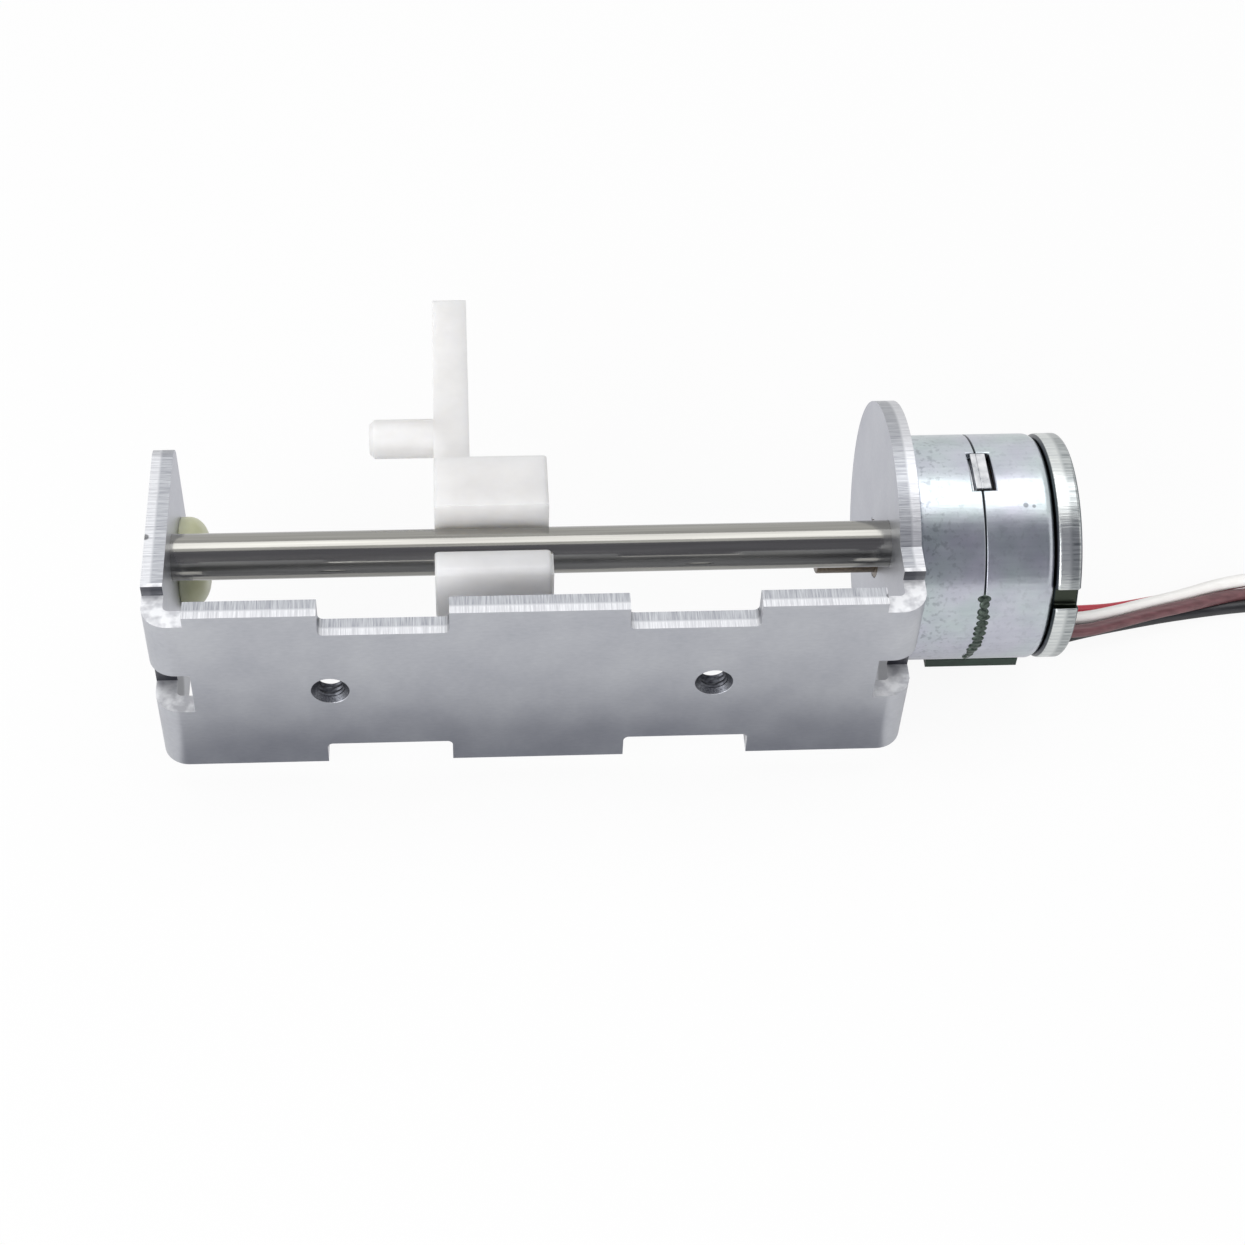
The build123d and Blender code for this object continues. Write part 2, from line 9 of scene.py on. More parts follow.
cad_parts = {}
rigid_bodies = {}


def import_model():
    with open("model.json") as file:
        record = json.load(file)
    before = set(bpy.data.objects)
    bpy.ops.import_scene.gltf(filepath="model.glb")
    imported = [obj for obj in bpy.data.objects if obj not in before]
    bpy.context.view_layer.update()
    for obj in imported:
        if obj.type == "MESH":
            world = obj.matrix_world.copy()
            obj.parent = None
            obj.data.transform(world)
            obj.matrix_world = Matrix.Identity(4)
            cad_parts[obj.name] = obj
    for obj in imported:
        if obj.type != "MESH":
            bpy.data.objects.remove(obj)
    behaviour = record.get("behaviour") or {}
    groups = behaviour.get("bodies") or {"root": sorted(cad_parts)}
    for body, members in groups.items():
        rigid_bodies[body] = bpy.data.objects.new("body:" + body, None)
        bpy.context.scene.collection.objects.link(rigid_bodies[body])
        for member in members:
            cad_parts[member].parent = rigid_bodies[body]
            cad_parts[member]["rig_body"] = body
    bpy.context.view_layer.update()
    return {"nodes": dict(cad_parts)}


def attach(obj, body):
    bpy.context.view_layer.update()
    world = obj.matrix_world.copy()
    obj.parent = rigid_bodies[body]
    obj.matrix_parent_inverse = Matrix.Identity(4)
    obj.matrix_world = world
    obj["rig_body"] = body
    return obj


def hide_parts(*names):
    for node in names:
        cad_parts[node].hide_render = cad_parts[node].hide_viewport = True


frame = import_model()
node_objects = frame["nodes"]

# Sizes in millimetres, in the part's frame: X towards the motor, Y off the mounting face, Z up
MM = 0.001
SHEET = 1.8
LEFT_X, RIGHT_X = -31.3, 33.575
LEFT_INSIDE, RIGHT_INSIDE = LEFT_X + SHEET, RIGHT_X - SHEET
BASE_MIDDLE = 1.1
TAPPED_LEFT, TAPPED_RIGHT = -16.25, 16.25
ROD_Y, ROD_Z, ROD_R = 10.4, 5.65, 2.0
SCREW_Y, SCREW_R = 14.83, 1.5
THREAD_PITCH = 0.5
CAN_R = 10.0
SEAM_X = 39.725
CAN_END_X = 45.875
CAP_END_X = 48.075
LEAD_R = 0.6
GROUND_Z = -13.1

# A face is turned across an axis when its normal has less than this share along the axis
ACROSS = 0.6
FULL_TURN = 2 * np.pi


# Camera: the photograph's place, direction and lens

def place_camera():
    """A pinhole at a measured place: azimuth, elevation and roll give its three axes."""
    azimuth, elevation, roll = np.radians([3.906, 50.374, 1.781])
    look = np.array(
        [np.sin(azimuth) * np.cos(elevation), np.cos(azimuth) * np.cos(elevation), -np.sin(elevation)]
    )
    right = np.array([np.cos(azimuth), -np.sin(azimuth), 0.0])
    up = np.cross(right, look)
    right, up = (
        np.cos(roll) * right + np.sin(roll) * up,
        -np.sin(roll) * right + np.cos(roll) * up,
    )
    data = bpy.data.cameras.new("camera")
    data.sensor_width = 36.0
    data.lens = 69.227
    data.shift_x = 0.04354
    data.shift_y = 0.00977
    data.clip_start = 0.005
    camera = bpy.data.objects.new("camera", data)
    bpy.context.scene.collection.objects.link(camera)
    turn = Matrix([(right[i], up[i], -look[i]) for i in range(3)]).to_4x4()
    camera.matrix_world = Matrix.Translation((-0.004864, -0.125724, 0.15899)) @ turn
    bpy.context.scene.camera = camera


# Colours, and the one function that adds a shader node

def linear(hex_colour):
    """sRGB hex to linear light: c/12.92 below 0.04045, else ((c + 0.055) / 1.055) ** 2.4."""
    c = np.array([int(hex_colour[i:i + 2], 16) / 255 for i in (1, 3, 5)])
    c = np.where(c <= 0.04045, c / 12.92, ((c + 0.055) / 1.055) ** 2.4)
    return (*c, 1.0)


def add(tree, kind, *inputs, named=None, out=0, stops=(), **settings):
    """Add one shader node with its settings and links, and give back one of its outputs.

    inputs are values or links for the sockets that the settings leave in use, in order, and
    named ones go by the socket's name. stops are a ramp's (position, hex colour) pairs. out is
    the output's number or name, or a slice of them."""
    node = tree.nodes.new("ShaderNode" + kind)
    for name, value in settings.items():
        setattr(node, name, value)
    fed = list(zip([socket for socket in node.inputs if socket.enabled], inputs))
    fed += [(node.inputs[name], value) for name, value in (named or {}).items()]
    for socket, value in fed:
        if isinstance(value, bpy.types.NodeSocket):
            tree.links.new(value, socket)
        else:
            socket.default_value = value
    if stops:
        for element, (position, colour) in zip(node.color_ramp.elements, stops):
            element.position = position
            element.color = linear(colour)
    if isinstance(out, str):
        return node.outputs[out]
    outputs = [socket for socket in node.outputs if socket.enabled]
    return outputs[out] if outputs else None


def empty_nodes(owner):
    """Clear the nodes of a material or a world, and give the function that adds one to it."""
    owner.use_nodes = True
    owner.node_tree.nodes.clear()
    return functools.partial(add, owner.node_tree)


def start_finish(name):
    """A new material, the function that adds its nodes, and the place in millimetres."""
    material = bpy.data.materials.new(name)
    node = empty_nodes(material)
    place = node("VectorMath", node("TexCoord", out="Object"), 1 / MM, operation="SCALE")
    return material, node, place


def end_finish(node, colour, rough, height, strength, depth, sockets):
    """The shader of a finish, with a bump of the given depth in millimetres."""
    relief = node("Bump", named={"Height": height, "Strength": strength, "Distance": depth * MM})
    skin = {"Base Color": colour, "Roughness": rough, "Normal": relief}
    node("OutputMaterial", node("BsdfPrincipled", named=skin | sockets))


def patch(node, place, centre, radius, soft=0.4):
    """1 inside a ball round a centre, fading to 0 at its radius over its soft share."""
    away = node("VectorMath", place, centre, operation="DISTANCE")
    return node(
        "MapRange", away, radius * (1 - soft), radius, 1.0, 0.0, interpolation_type="SMOOTHSTEP"
    )


# Finishes. Stretched patterns give their repeats per millimetre along X, Y and Z

def zinc_plated_sheet():
    """Cold-rolled steel, stamped and bent, then zinc plated.

    To the eye: satin grey faces with a cool tinge, and sheared edges with fine lines through the
    thickness, bright where the punch burnished them and dull where the sheet tore. The edges at the
    bends are pressed smooth and carry a painted highlight, and painted shade lies on the steps
    beside the bends and in the slots there."""
    material, node, place = start_finish("zinc_plated_sheet")
    x, y, z = node("SeparateXYZ", place, out=slice(3))
    nx, ny, nz = node("SeparateXYZ", node("TexCoord", out="Normal"), out=slice(3))
    # Faces: clouds of 5 mm in the plating, and a 0.25 mm grain drawn out to 0.7 mm along X
    clouds = node("TexNoise", place, 1 / 5, 4.0)
    grain_place = node("VectorMath", place, (1.5, 4.0, 4.0), operation="MULTIPLY")
    grain = node("TexNoise", grain_place, 1.0, 3.0)
    face = node("ValToRGB", clouds, stops=[(0.3, "#B2B4BB"), (0.7, "#C0C2C7")])
    flecks = node("ValToRGB", grain, stops=[(0.3, "#8E9097"), (0.7, "#D6D6D8")])
    face = node("Mix", 0.1, face, flecks, data_type="RGBA")

    # Sheared faces: the two sides, the base's notches between the bends, and the ears' rims
    notch_reach, rims_from = 30.0, 3.0
    side = node("Math", node("Math", nz, operation="ABSOLUTE"), ACROSS, operation="GREATER_THAN")
    notch = node("Math", y, SHEET - 0.01, operation="LESS_THAN")
    for mask in (
        node("Math", ny, 0.0, ACROSS, operation="COMPARE"),
        node("Math", x, BASE_MIDDLE, notch_reach, operation="COMPARE"),
    ):
        notch = node("Math", notch, mask, operation="MULTIPLY")
    rim = node(
        "Math", node("Math", y, rims_from, operation="GREATER_THAN"),
        node("Math", nx, 0.0, ACROSS, operation="COMPARE"), operation="MULTIPLY",
    )
    sheared = node(
        "Math", node("Math", side, notch, operation="MAXIMUM"), rim, operation="MAXIMUM"
    )

    # Lines 0.1 mm apart, along Y on the base and along X on the ears
    in_ear = node(
        "Math", node("Math", x, LEFT_INSIDE, operation="LESS_THAN"),
        node("Math", x, RIGHT_INSIDE, operation="GREATER_THAN"), operation="MAXIMUM",
    )
    in_ear = node(
        "Math", in_ear, node("Math", y, SHEET, operation="GREATER_THAN"), operation="MULTIPLY"
    )
    base_lines = node("VectorMath", place, (10.0, 0.35, 10.0), operation="MULTIPLY")
    ear_lines = node("VectorMath", place, (0.35, 10.0, 10.0), operation="MULTIPLY")
    line_place = node("Mix", in_ear, base_lines, ear_lines, data_type="VECTOR")
    lines = node("TexNoise", line_place, 1.0, 2.0, 0.7)

    # The burnished band is the 0.7 mm next to the outer face; the rest is torn and duller
    from_left = node("MapRange", x, LEFT_X, LEFT_INSIDE, 0.0, 1.0)
    from_right = node("MapRange", x, RIGHT_X, RIGHT_INSIDE, 0.0, 1.0)
    through_ear = node("Math", from_left, from_right, operation="MINIMUM")
    through_base = node("Math", y, SHEET, operation="DIVIDE")
    through = node("Mix", in_ear, through_base, through_ear)
    wave = node("Math", node("Math", lines, 0.5, operation="SUBTRACT"), 0.25, operation="MULTIPLY")
    torn = node("MapRange", node("Math", through, wave, operation="ADD"), 0.38, 0.5, 0.0, 1.0)
    bright = node("ValToRGB", lines, stops=[(0.3, "#B2B3B8"), (0.65, "#D8D9DC")])
    dull = node("ValToRGB", lines, stops=[(0.3, "#878990"), (0.68, "#BBBDC1")])
    edge = node("Mix", torn, bright, dull, data_type="RGBA")

    # At the bends the sheet's edge is pressed smooth, with dents of 1 mm, and is drawn lighter and less
    # metallic there as a painted highlight
    bend_from, bend_height = 28.9, 3.9
    from_centre = node("Math", node("Math", x, BASE_MIDDLE, operation="SUBTRACT"), operation="ABSOLUTE")
    bend = side
    for mask in (
        node("Math", from_centre, bend_from, operation="GREATER_THAN"),
        node("Math", y, bend_height, operation="LESS_THAN"),
    ):
        bend = node("Math", bend, mask, operation="MULTIPLY")
    dented_bend_highlight = node(
        "ValToRGB", node("TexNoise", place, 1.1, 2.0), stops=[(0.35, "#BDBEC3"), (0.6, "#E6E7EA")]
    )
    edge = node("Mix", bend, edge, dented_bend_highlight, data_type="RGBA")
    colour = node("Mix", sheared, face, edge, data_type="RGBA")

    # Painted shade on the steps beside the bends, which face the base, strongest at their ends
    step_y, step_reach, step_shade_z = 3.7, 1.8, 5.5
    step = node(
        "Math", node("Math", ny, -ACROSS, operation="LESS_THAN"),
        node("Math", y, step_y, step_reach, operation="COMPARE"), operation="MULTIPLY",
    )
    from_middle = node("Math", node("Math", z, step_shade_z, operation="SUBTRACT"), operation="ABSOLUTE")
    painted_step_shade = node("MapRange", from_middle, 3.4, 3.9, 0.6, 0.85)
    painted_step_shade = node("Math", step, painted_step_shade, operation="MULTIPLY")
    colour = node("Mix", painted_step_shade, colour, linear("#46474D"), data_type="RGBA")
    # Painted shade inside the slots of the bends
    for inside in (LEFT_INSIDE, RIGHT_INSIDE):
        slot = patch(node, place, (inside, 4.0, -4.5), 3.6, 0.5)
        painted_slot_shade = node("Math", slot, 0.65, operation="MULTIPLY")
        colour = node("Mix", painted_slot_shade, colour, linear("#4C4D55"), data_type="RGBA")
    # Small dark spots at four given points
    marks = patch(node, place, (LEFT_X + 0.05, 9.0, 9.8), 0.4)
    for centre in ((30.2, 0.9, 9.8), (RIGHT_INSIDE, 17.16, 1.2), (RIGHT_INSIDE, 13.9, -2.3)):
        marks = node("Math", marks, patch(node, place, centre, 0.35), operation="MAXIMUM")
    marks = node("Math", marks, 0.75, operation="MULTIPLY")
    colour = node("Mix", marks, colour, linear("#3B3B3E"), data_type="RGBA")
    # The countersunk mouths of the tapped holes are drawn dark, with the edge's lines
    dark_mouth = node("ValToRGB", lines, stops=[(0.3, "#3A3B40"), (0.7, "#7C7E84")])
    below_face = node("Math", y, 0.03, operation="GREATER_THAN")
    for hole_x in (TAPPED_LEFT, TAPPED_RIGHT):
        mouth = patch(node, place, (hole_x, 0.3, 0.0), 1.9, 0.1)
        mouth = node("Math", mouth, below_face, operation="MULTIPLY")
        colour = node("Mix", mouth, colour, dark_mouth, data_type="RGBA")

    rough = node("Math", clouds, 0.12, 0.34, operation="MULTIPLY_ADD")
    rough = node("Mix", sheared, rough, 0.4)
    height = node("Mix", sheared, node("Math", grain, 0.12, operation="MULTIPLY"), lines)
    end_finish(node, colour, rough, height, 0.5, 0.04, {"Metallic": node("Mix", bend, 1.0, 0.4)})
    return material


def ground_rod_steel():
    """Hardened steel, centreless ground and polished.

    To the eye: a warm grey mirror that draws the studio out in long bands, a little blurred by
    grinding rings 0.07 mm apart and by streaks 0.4 mm apart along the rod."""
    material, node, place = start_finish("ground_rod_steel")
    rings = node("VectorMath", place, (14.0, 0.8, 0.8), operation="MULTIPLY")
    rings = node("TexNoise", rings, 1.0, 2.0)
    streaks = node("VectorMath", place, (0.05, 2.4, 2.4), operation="MULTIPLY")
    streaks = node("TexNoise", streaks, 1.0)
    colour = node("ValToRGB", streaks, stops=[(0.3, "#8B8A86"), (0.7, "#A1A09B")])
    rough = node("Math", rings, 0.08, 0.08, operation="MULTIPLY_ADD")
    end_finish(node, colour, rough, rings, 0.25, 0.01, {"Metallic": 1.0})
    return material


def drawn_can_steel(name, low, high, rim_from=None, rim_to=None):
    """Deep-drawn steel with bright blue zinc; where rim_from is given, a punched plate of it.

    To the eye: a cool bright metal with soft streaks along the drawing direction, faint green
    and violet clouds and a little mottling, and a dark hairline where the two cups meet. Painted
    shade darkens the groove at the cap, and a painted dark reflection the cap's end. The punched
    plate's rim has lines across it, bright on one side and torn on the other."""
    material, node, place = start_finish(name)
    x = node("SeparateXYZ", place)
    nx = node("SeparateXYZ", node("TexCoord", out="Normal"))
    # Drawing streaks 0.4 mm apart and mottling of 2 mm
    streaks = node("VectorMath", place, (0.3, 2.5, 2.5), operation="MULTIPLY")
    streaks = node("TexNoise", streaks, 1.0, 4.0)
    mottle = node("TexNoise", place, 0.55, 5.0)
    colour = node("ValToRGB", mottle, stops=[(0.3, low), (0.72, high)])
    drawn = node("ValToRGB", streaks, stops=[(0.3, low), (0.7, "#E2E6EA")])
    colour = node("Mix", 0.25, colour, drawn, data_type="RGBA")
    # The zinc's thin passivation shows in faint green and violet clouds of 6 mm
    clouds = node(
        "ValToRGB", node("TexNoise", place, 0.16, 5.0), stops=[(0.4, "#ACC0B9"), (0.6, "#BAB3C7")]
    )
    colour = node("Mix", 0.34, colour, clouds, data_type="RGBA")
    # Handling leaves dull specks of 0.3 mm, thickest next to the flange
    specks = node("MapRange", node("TexNoise", place, 2.2, 3.0), 0.53, 0.66, 0.0, 1.0)
    near_flange = node("MapRange", x, 34.0, 38.5, 0.5, 0.16)
    specks = node("Math", specks, near_flange, operation="MULTIPLY")
    colour = node("Mix", specks, colour, linear("#6F757D"), data_type="RGBA")
    height = node(
        "Math", streaks, 0.5, node("Math", mottle, 0.7, operation="MULTIPLY"),
        operation="MULTIPLY_ADD",
    )
    if rim_from is not None:
        # The rim's lines are 0.2 mm apart
        lines = node("VectorMath", place, (0.3, 5.0, 5.0), operation="MULTIPLY")
        lines = node("TexNoise", lines, 1.0, 2.0)
        through = node("MapRange", x, rim_from, rim_to, 0.0, 1.0)
        torn = node("MapRange", node("Math", lines, 0.3, through, operation="MULTIPLY_ADD"), 0.6, 0.75)
        bright = node("ValToRGB", lines, stops=[(0.3, "#C0C4C5"), (0.7, "#E0E3E1")])
        dull = node("ValToRGB", lines, stops=[(0.3, "#858A8C"), (0.68, "#C0C4C4")])
        on_rim = node("Math", nx, 0.0, ACROSS, operation="COMPARE")
        colour = node(
            "Mix", on_rim, colour, node("Mix", torn, bright, dull, data_type="RGBA"),
            data_type="RGBA",
        )
        height = node("Mix", on_rim, height, lines)
        # The nick in the rim stays dark down to its floor
        radius = node("VectorMath", place, (0.0, SCREW_Y, 0.0), operation="SUBTRACT")
        radius = node("VectorMath", radius, (0.0, 1.0, 1.0), operation="MULTIPLY")
        radius = node("VectorMath", radius, operation="LENGTH")
        nick = patch(node, place, (47.0, 5.9, 3.25), 1.9, 0.1)
        for mask in (node("Math", radius, CAN_R - 0.15, operation="LESS_THAN"), on_rim):
            nick = node("Math", nick, mask, operation="MULTIPLY")
        colour = node("Mix", nick, colour, linear("#3F443C"), data_type="RGBA")
    else:
        pits = node(
            "Math", patch(node, place, (43.3, 11.2, 9.3), 0.28),
            patch(node, place, (44.0, 11.1, 9.25), 0.2), operation="MAXIMUM",
        )
        pits = node("Math", pits, 0.6, operation="MULTIPLY")
        colour = node("Mix", pits, colour, linear("#4A4E53"), data_type="RGBA")
    # The hairline gap between the cups is darkened as a dark joint, the groove at the cap as painted
    # shade, and everything within reach of the cap's end plane, its outer rim and its whole end face,
    # as a painted dark reflection
    for middle, reach in ((SEAM_X, 0.12), (CAN_END_X, 0.22), (CAP_END_X, 0.17)):
        away = node("Math", node("Math", x, middle, operation="SUBTRACT"), operation="ABSOLUTE")
        shade = node("MapRange", away, reach * 0.7, reach, 0.85, 0.0)
        colour = node("Mix", shade, colour, linear("#20272D"), data_type="RGBA")
    rough = node("Math", mottle, 0.06, 0.26, operation="MULTIPLY_ADD")
    end_finish(node, colour, rough, height, 0.4, 0.05, {"Metallic": 1.0})
    return material


def bare_metal(name, low, high, roughness, metallic=1.0, grit=6.0):
    """A small metal piece with the grain of its making, grit grains to a millimetre. The real
    grain is finer, and is drawn as coarse as it needs to show."""
    material, node, place = start_finish(name)
    grain = node("TexNoise", place, grit, 4.0)
    colour = node("ValToRGB", grain, stops=[(0.3, low), (0.7, high)])
    rough = node("Math", grain, 0.2, roughness - 0.1, operation="MULTIPLY_ADD")
    end_finish(node, colour, rough, grain, 0.3, 0.04, {"Metallic": metallic})
    return material


def moulded(name, low, high, roughness, ior, glow=0.0, depth=1.0, marks_per_mm=0.4):
    """An injection-moulded plastic: the resin's IOR, a satin skin of 0.1 mm grain with shallow
    flow marks, and where glow is above 0, light that travels depth millimetres inside."""
    material, node, place = start_finish(name)
    flow = node("TexNoise", place, marks_per_mm, 3.0)
    skin = node("TexNoise", place, 9.0, 2.0)
    colour = node("ValToRGB", flow, stops=[(0.3, low), (0.7, high)])
    rough = node("Math", flow, 0.14, roughness - 0.07, operation="MULTIPLY_ADD")
    height = node(
        "Math", flow, 0.6, node("Math", skin, 0.25, operation="MULTIPLY"), operation="MULTIPLY_ADD"
    )
    sockets = {"IOR": ior}
    if glow:
        sockets["Subsurface Weight"] = glow
        sockets["Subsurface Radius"] = (1.0, 0.95, 0.85)
        sockets["Subsurface Scale"] = depth * MM
    end_finish(node, colour, rough, height, 0.15, 0.04, sockets)
    return material


def wire_sleeve(name, low, high):
    """Soft PVC, extruded over a stranded core.

    To the eye: a satin skin on which the strands show as faint ridges 0.3 mm apart."""
    material, node, place = start_finish(name)
    ridges = node("VectorMath", place, (0.6, 3.0, 3.0), operation="MULTIPLY")
    ridges = node("TexNoise", ridges, 1.0, 2.0)
    colour = node("ValToRGB", ridges, stops=[(0.3, low), (0.7, high)])
    rough = node("Math", ridges, 0.15, 0.32, operation="MULTIPLY_ADD")
    end_finish(node, colour, rough, ridges, 0.3, 0.06, {"IOR": 1.53})
    return material


# Meshes

def joined(mesh, apart, flat_degrees=0.0):
    """Join points less than apart metres from each other, dissolve the edges between faces that
    are flat to within flat_degrees, or else what has no length, and turn all faces outwards."""
    work = bmesh.new()
    work.from_mesh(mesh)
    bmesh.ops.remove_doubles(work, verts=work.verts, dist=apart)
    if flat_degrees:
        bmesh.ops.dissolve_limit(
            work, angle_limit=np.radians(flat_degrees), verts=work.verts, edges=work.edges
        )
    else:
        bmesh.ops.dissolve_degenerate(work, edges=work.edges, dist=1e-7)
    bmesh.ops.recalc_face_normals(work, faces=work.faces)
    work.to_mesh(mesh)
    work.free()
    return mesh


def grid_mesh(name, points):
    """Make a mesh from a grid of points: rows run along a piece, columns go round it.

    The first and last rows may be single points repeated, which closes the ends."""
    rows, columns = points.shape[:2]
    index = np.arange(rows * columns).reshape(rows, columns)
    beside = np.roll(index, -1, axis=1)
    quads = np.stack([index[:-1], beside[:-1], beside[1:], index[1:]], axis=-1).reshape(-1, 4)
    mesh = bpy.data.meshes.new(name)
    mesh.from_pydata((points.reshape(-1, 3) * MM).tolist(), [], quads.tolist())
    return joined(mesh, 2e-7)


def smooth_by_angle(mesh, degrees=32.0):
    mesh.polygons.foreach_set("use_smooth", np.ones(len(mesh.polygons), bool))
    mesh.set_sharp_from_angle(angle=np.radians(degrees))


def show(name, mesh, body, slot, *replaced):
    """Link a piece, let it ride on its body, and hide the nodes it stands for."""
    piece = bpy.data.objects.new(name, mesh)
    bpy.context.scene.collection.objects.link(piece)
    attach(piece, body)
    if replaced:
        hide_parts(*replaced)
    return piece


def soft_copy(node, edge_mm, slot, material, segments=2):
    """A node's own solid with its flats joined up and its edges eased by a small radius."""
    source = node_objects[node]
    mesh = source.data.copy()
    mesh.materials.clear()
    smooth_by_angle(joined(mesh, 2e-6, 0.6))
    piece = show(node + "_dressed", mesh, source["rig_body"], slot, node)
    bevel = piece.modifiers.new("eased_edges", "BEVEL")
    bevel.width = edge_mm * MM
    bevel.segments = segments
    bevel.limit_method = "ANGLE"
    bevel.angle_limit = np.radians(30)
    bevel.use_clamp_overlap = True
    flats = piece.modifiers.new("flats_stay_flat", "WEIGHTED_NORMAL")
    flats.weight = 100
    flats.keep_sharp = True
    piece.data.materials.append(material)
    return piece


def lathe(profile, y=SCREW_Y, z=0.0, columns=128):
    """A surface of revolution along X: (x, r) becomes (x, y + r cos t, z + r sin t)."""
    profile = np.asarray(profile, float)
    t = np.linspace(0, FULL_TURN, columns, endpoint=False)
    x = np.repeat(profile[:, :1], columns, axis=1)
    return np.stack([x, y + profile[:, 1:] * np.cos(t), z + profile[:, 1:] * np.sin(t)], axis=-1)


def guide_rod_mesh():
    """A plain bar with a 0.3 mm chamfer at each end, closed at both poles, whose ends lie 0.2 mm
    inside the outer faces of the ears."""
    left, right, chamfer = LEFT_X + 0.2, RIGHT_X - 0.2, 0.3
    profile = [
        (left, 0), (left, ROD_R - chamfer), (left + chamfer, ROD_R),
        (right - chamfer, ROD_R), (right, ROD_R - chamfer), (right, 0),
    ]
    return grid_mesh("guide_rod", lathe(profile, ROD_Y, ROD_Z))


def lead_screw_mesh():
    """A rolled M3 thread: the radius falls by up to 0.3 mm from crest to root with the phase of
    x / pitch plus t / turn, and the thread fades out at both ends into turned journals."""
    depth, columns, rows_per_turn = 0.3, 40, 8
    thread_from, thread_to = -27.0, 31.5
    row = THREAD_PITCH / rows_per_turn
    x, t = np.meshgrid(
        np.arange(thread_from, thread_to + row / 2, row),
        np.linspace(0, FULL_TURN, columns, endpoint=False), indexing="ij",
    )
    phase = (x / THREAD_PITCH + t / FULL_TURN) % 1.0
    ridge = np.clip(2.6 * (1 - np.abs(2 * phase - 1)) - 0.55, 0, 1)
    fade = np.clip(np.minimum(x - thread_from, thread_to - x) / 0.8, 0, 1)
    r = SCREW_R - depth * (1 - ridge) * fade
    thread = np.stack([x, SCREW_Y + r * np.cos(t), r * np.sin(t)], axis=-1)
    left = lathe(
        [(-30.4, 0), (-30.4, 0.75), (-30.15, 1.0), (-27.02, 1.0), (-27.01, 1.4)], columns=columns
    )
    right = lathe(
        [(31.6, SCREW_R), (45.8, SCREW_R), (45.82, 1.0), (47.3, 1.0), (47.5, 0.75), (47.5, 0)],
        columns=columns,
    )
    return grid_mesh("lead_screw", np.concatenate([left, thread, right]))


def end_bush_mesh():
    """A turned dome: a straight skirt, then a quarter-sine crown down to a flat nose with the
    journal's blind bore in it."""
    s = np.linspace(0, 1, 14) * np.pi / 2
    crown = np.stack([-28.8 + 1.7 * np.sin(s), 1.9 + 2.1 * np.cos(s)], axis=1)
    skirt = [(LEFT_X, 0), (LEFT_X, 2.7), (-31.2, 2.8), (-29.5, 2.8), (-29.5, 3.9), (-29.4, 4.0)]
    bore = [(-27.1, 1.15), (-27.2, 1.05), (-30.4, 1.05), (-30.5, 0.9), (-30.5, 0)]
    return grid_mesh("end_bush", lathe(np.concatenate([skirt, crown, bore]), columns=96))


def weld_mesh(name, middle, seed):
    """A strip over the seam whose height is the largest of fourteen overlapping puddles,
    h = 0.2 sqrt(1 - d^2), laid on a cylinder; its rim dips just under the casing and its
    last puddles shrink and drift off the seam."""
    rng = np.random.default_rng(seed)
    puddles, sunk, under = 14, 0.03, CAN_R - 0.1
    t, u = np.meshgrid(
        np.radians(np.linspace(-27, 27, 220)), np.linspace(-1.15, 1.15, 56), indexing="ij"
    )
    height = np.full(t.shape, -sunk)
    for i in range(puddles):
        late = max(0.0, (i - 9) / 4)
        centre_t = np.radians(-24 + 3.75 * i + rng.uniform(-0.5, 0.5))
        centre_u = rng.uniform(-0.1, 0.1) - 0.35 * late
        wide, long = rng.uniform(0.42, 0.6) * (1 - 0.5 * late), rng.uniform(0.36, 0.46)
        d_squared = ((u - centre_u) / wide) ** 2 + ((t - centre_t) * CAN_R / long) ** 2
        puddle = rng.uniform(0.16, 0.24) * np.sqrt(np.clip(1 - d_squared, 0, 1)) - sunk
        height = np.maximum(height, puddle)
    angle = np.radians(middle) + t
    top, below = (
        np.stack([SEAM_X + u, SCREW_Y + r * np.cos(angle), r * np.sin(angle)], axis=-1)
        for r in (CAN_R + height, under)
    )
    ring = np.concatenate([top, below[:, ::-1]], axis=1)
    first, last = (
        np.repeat(end.mean(1, keepdims=True), ring.shape[1], 1) for end in (ring[:1], ring[-1:])
    )
    return grid_mesh(name, np.concatenate([first, ring, last]))


def tap_thread_mesh(name, x):
    """The crests of an M3 thread inside a tapped hole: a sleeve whose inner radius falls from
    1.25 to 1.08 mm with the phase of y / pitch minus t / turn, and which fades out at its ends."""
    first, last, outside = 0.42, SHEET - 0.02, 1.27
    y, t = np.meshgrid(
        np.linspace(first, last, 44), np.linspace(0, FULL_TURN, 64, endpoint=False), indexing="ij"
    )
    phase = (y / THREAD_PITCH - t / FULL_TURN) % 1.0
    ridge = np.clip(1.6 * (1 - np.abs(2 * phase - 1)) - 0.3, 0, 1)
    fade = np.clip(np.minimum(y - first, last - y) / 0.12, 0, 1)
    inner, outer = (
        np.stack([x + r * np.cos(t), y, r * np.sin(t)], axis=-1)
        for r in (1.245 - 0.17 * ridge * fade, outside)
    )
    return grid_mesh(name, np.concatenate([inner, outer[::-1], inner[:1]]))


# Leads: the routes of the CAD model, as the control points of smooth open splines

